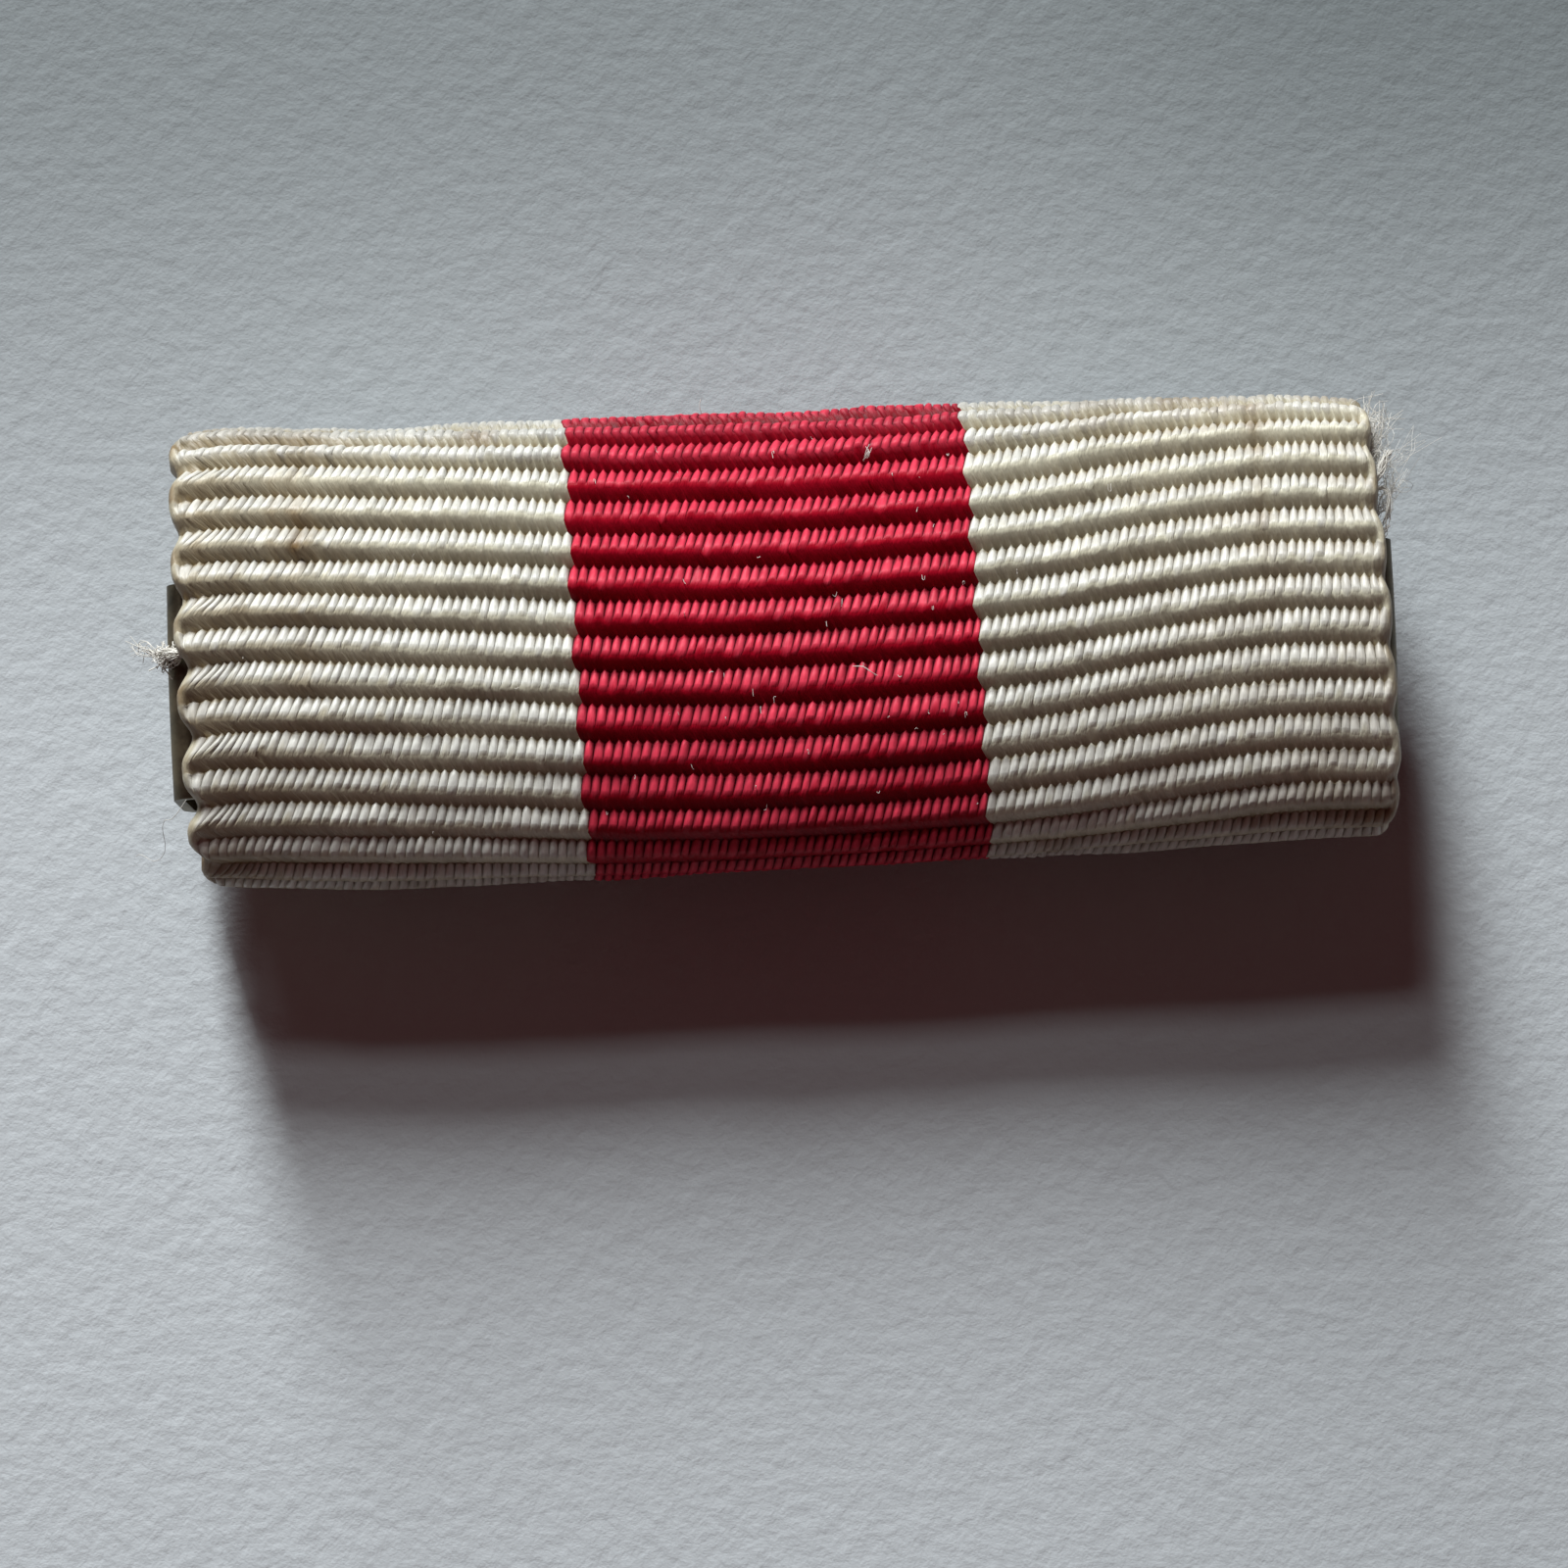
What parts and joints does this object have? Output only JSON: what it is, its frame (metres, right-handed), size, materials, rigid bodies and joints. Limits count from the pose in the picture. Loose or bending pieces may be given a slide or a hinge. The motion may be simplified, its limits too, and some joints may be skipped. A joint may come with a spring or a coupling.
{
  "type": "ribbon bar",
  "caption": "Ribbon bar: corded red and white ribbon wrapped over a folded steel plate with side ears, with a brooch pin behind.",
  "frame": {"origin": "on the resting surface, under the middle of the bar", "axes": "+X along the bar, +Y across the bar to its upper long edge, +Z out of the ribboned face, away from the wearer"},
  "size_m": [0.0326, 0.0126, 0.0068],
  "materials": {
    "ribbon": "corded rayon ribbon, ivory with a red middle stripe, lightly toned",
    "plate_steel": "stamped sheet steel, darkened with age",
    "pin_steel": "dull nickel-washed steel"
  },
  "bodies": {
    "root": {"ribbon": "ribbon", "backing_plate": "plate_steel", "brooch_pin": "pin_steel"}
  },
  "joints": []
}
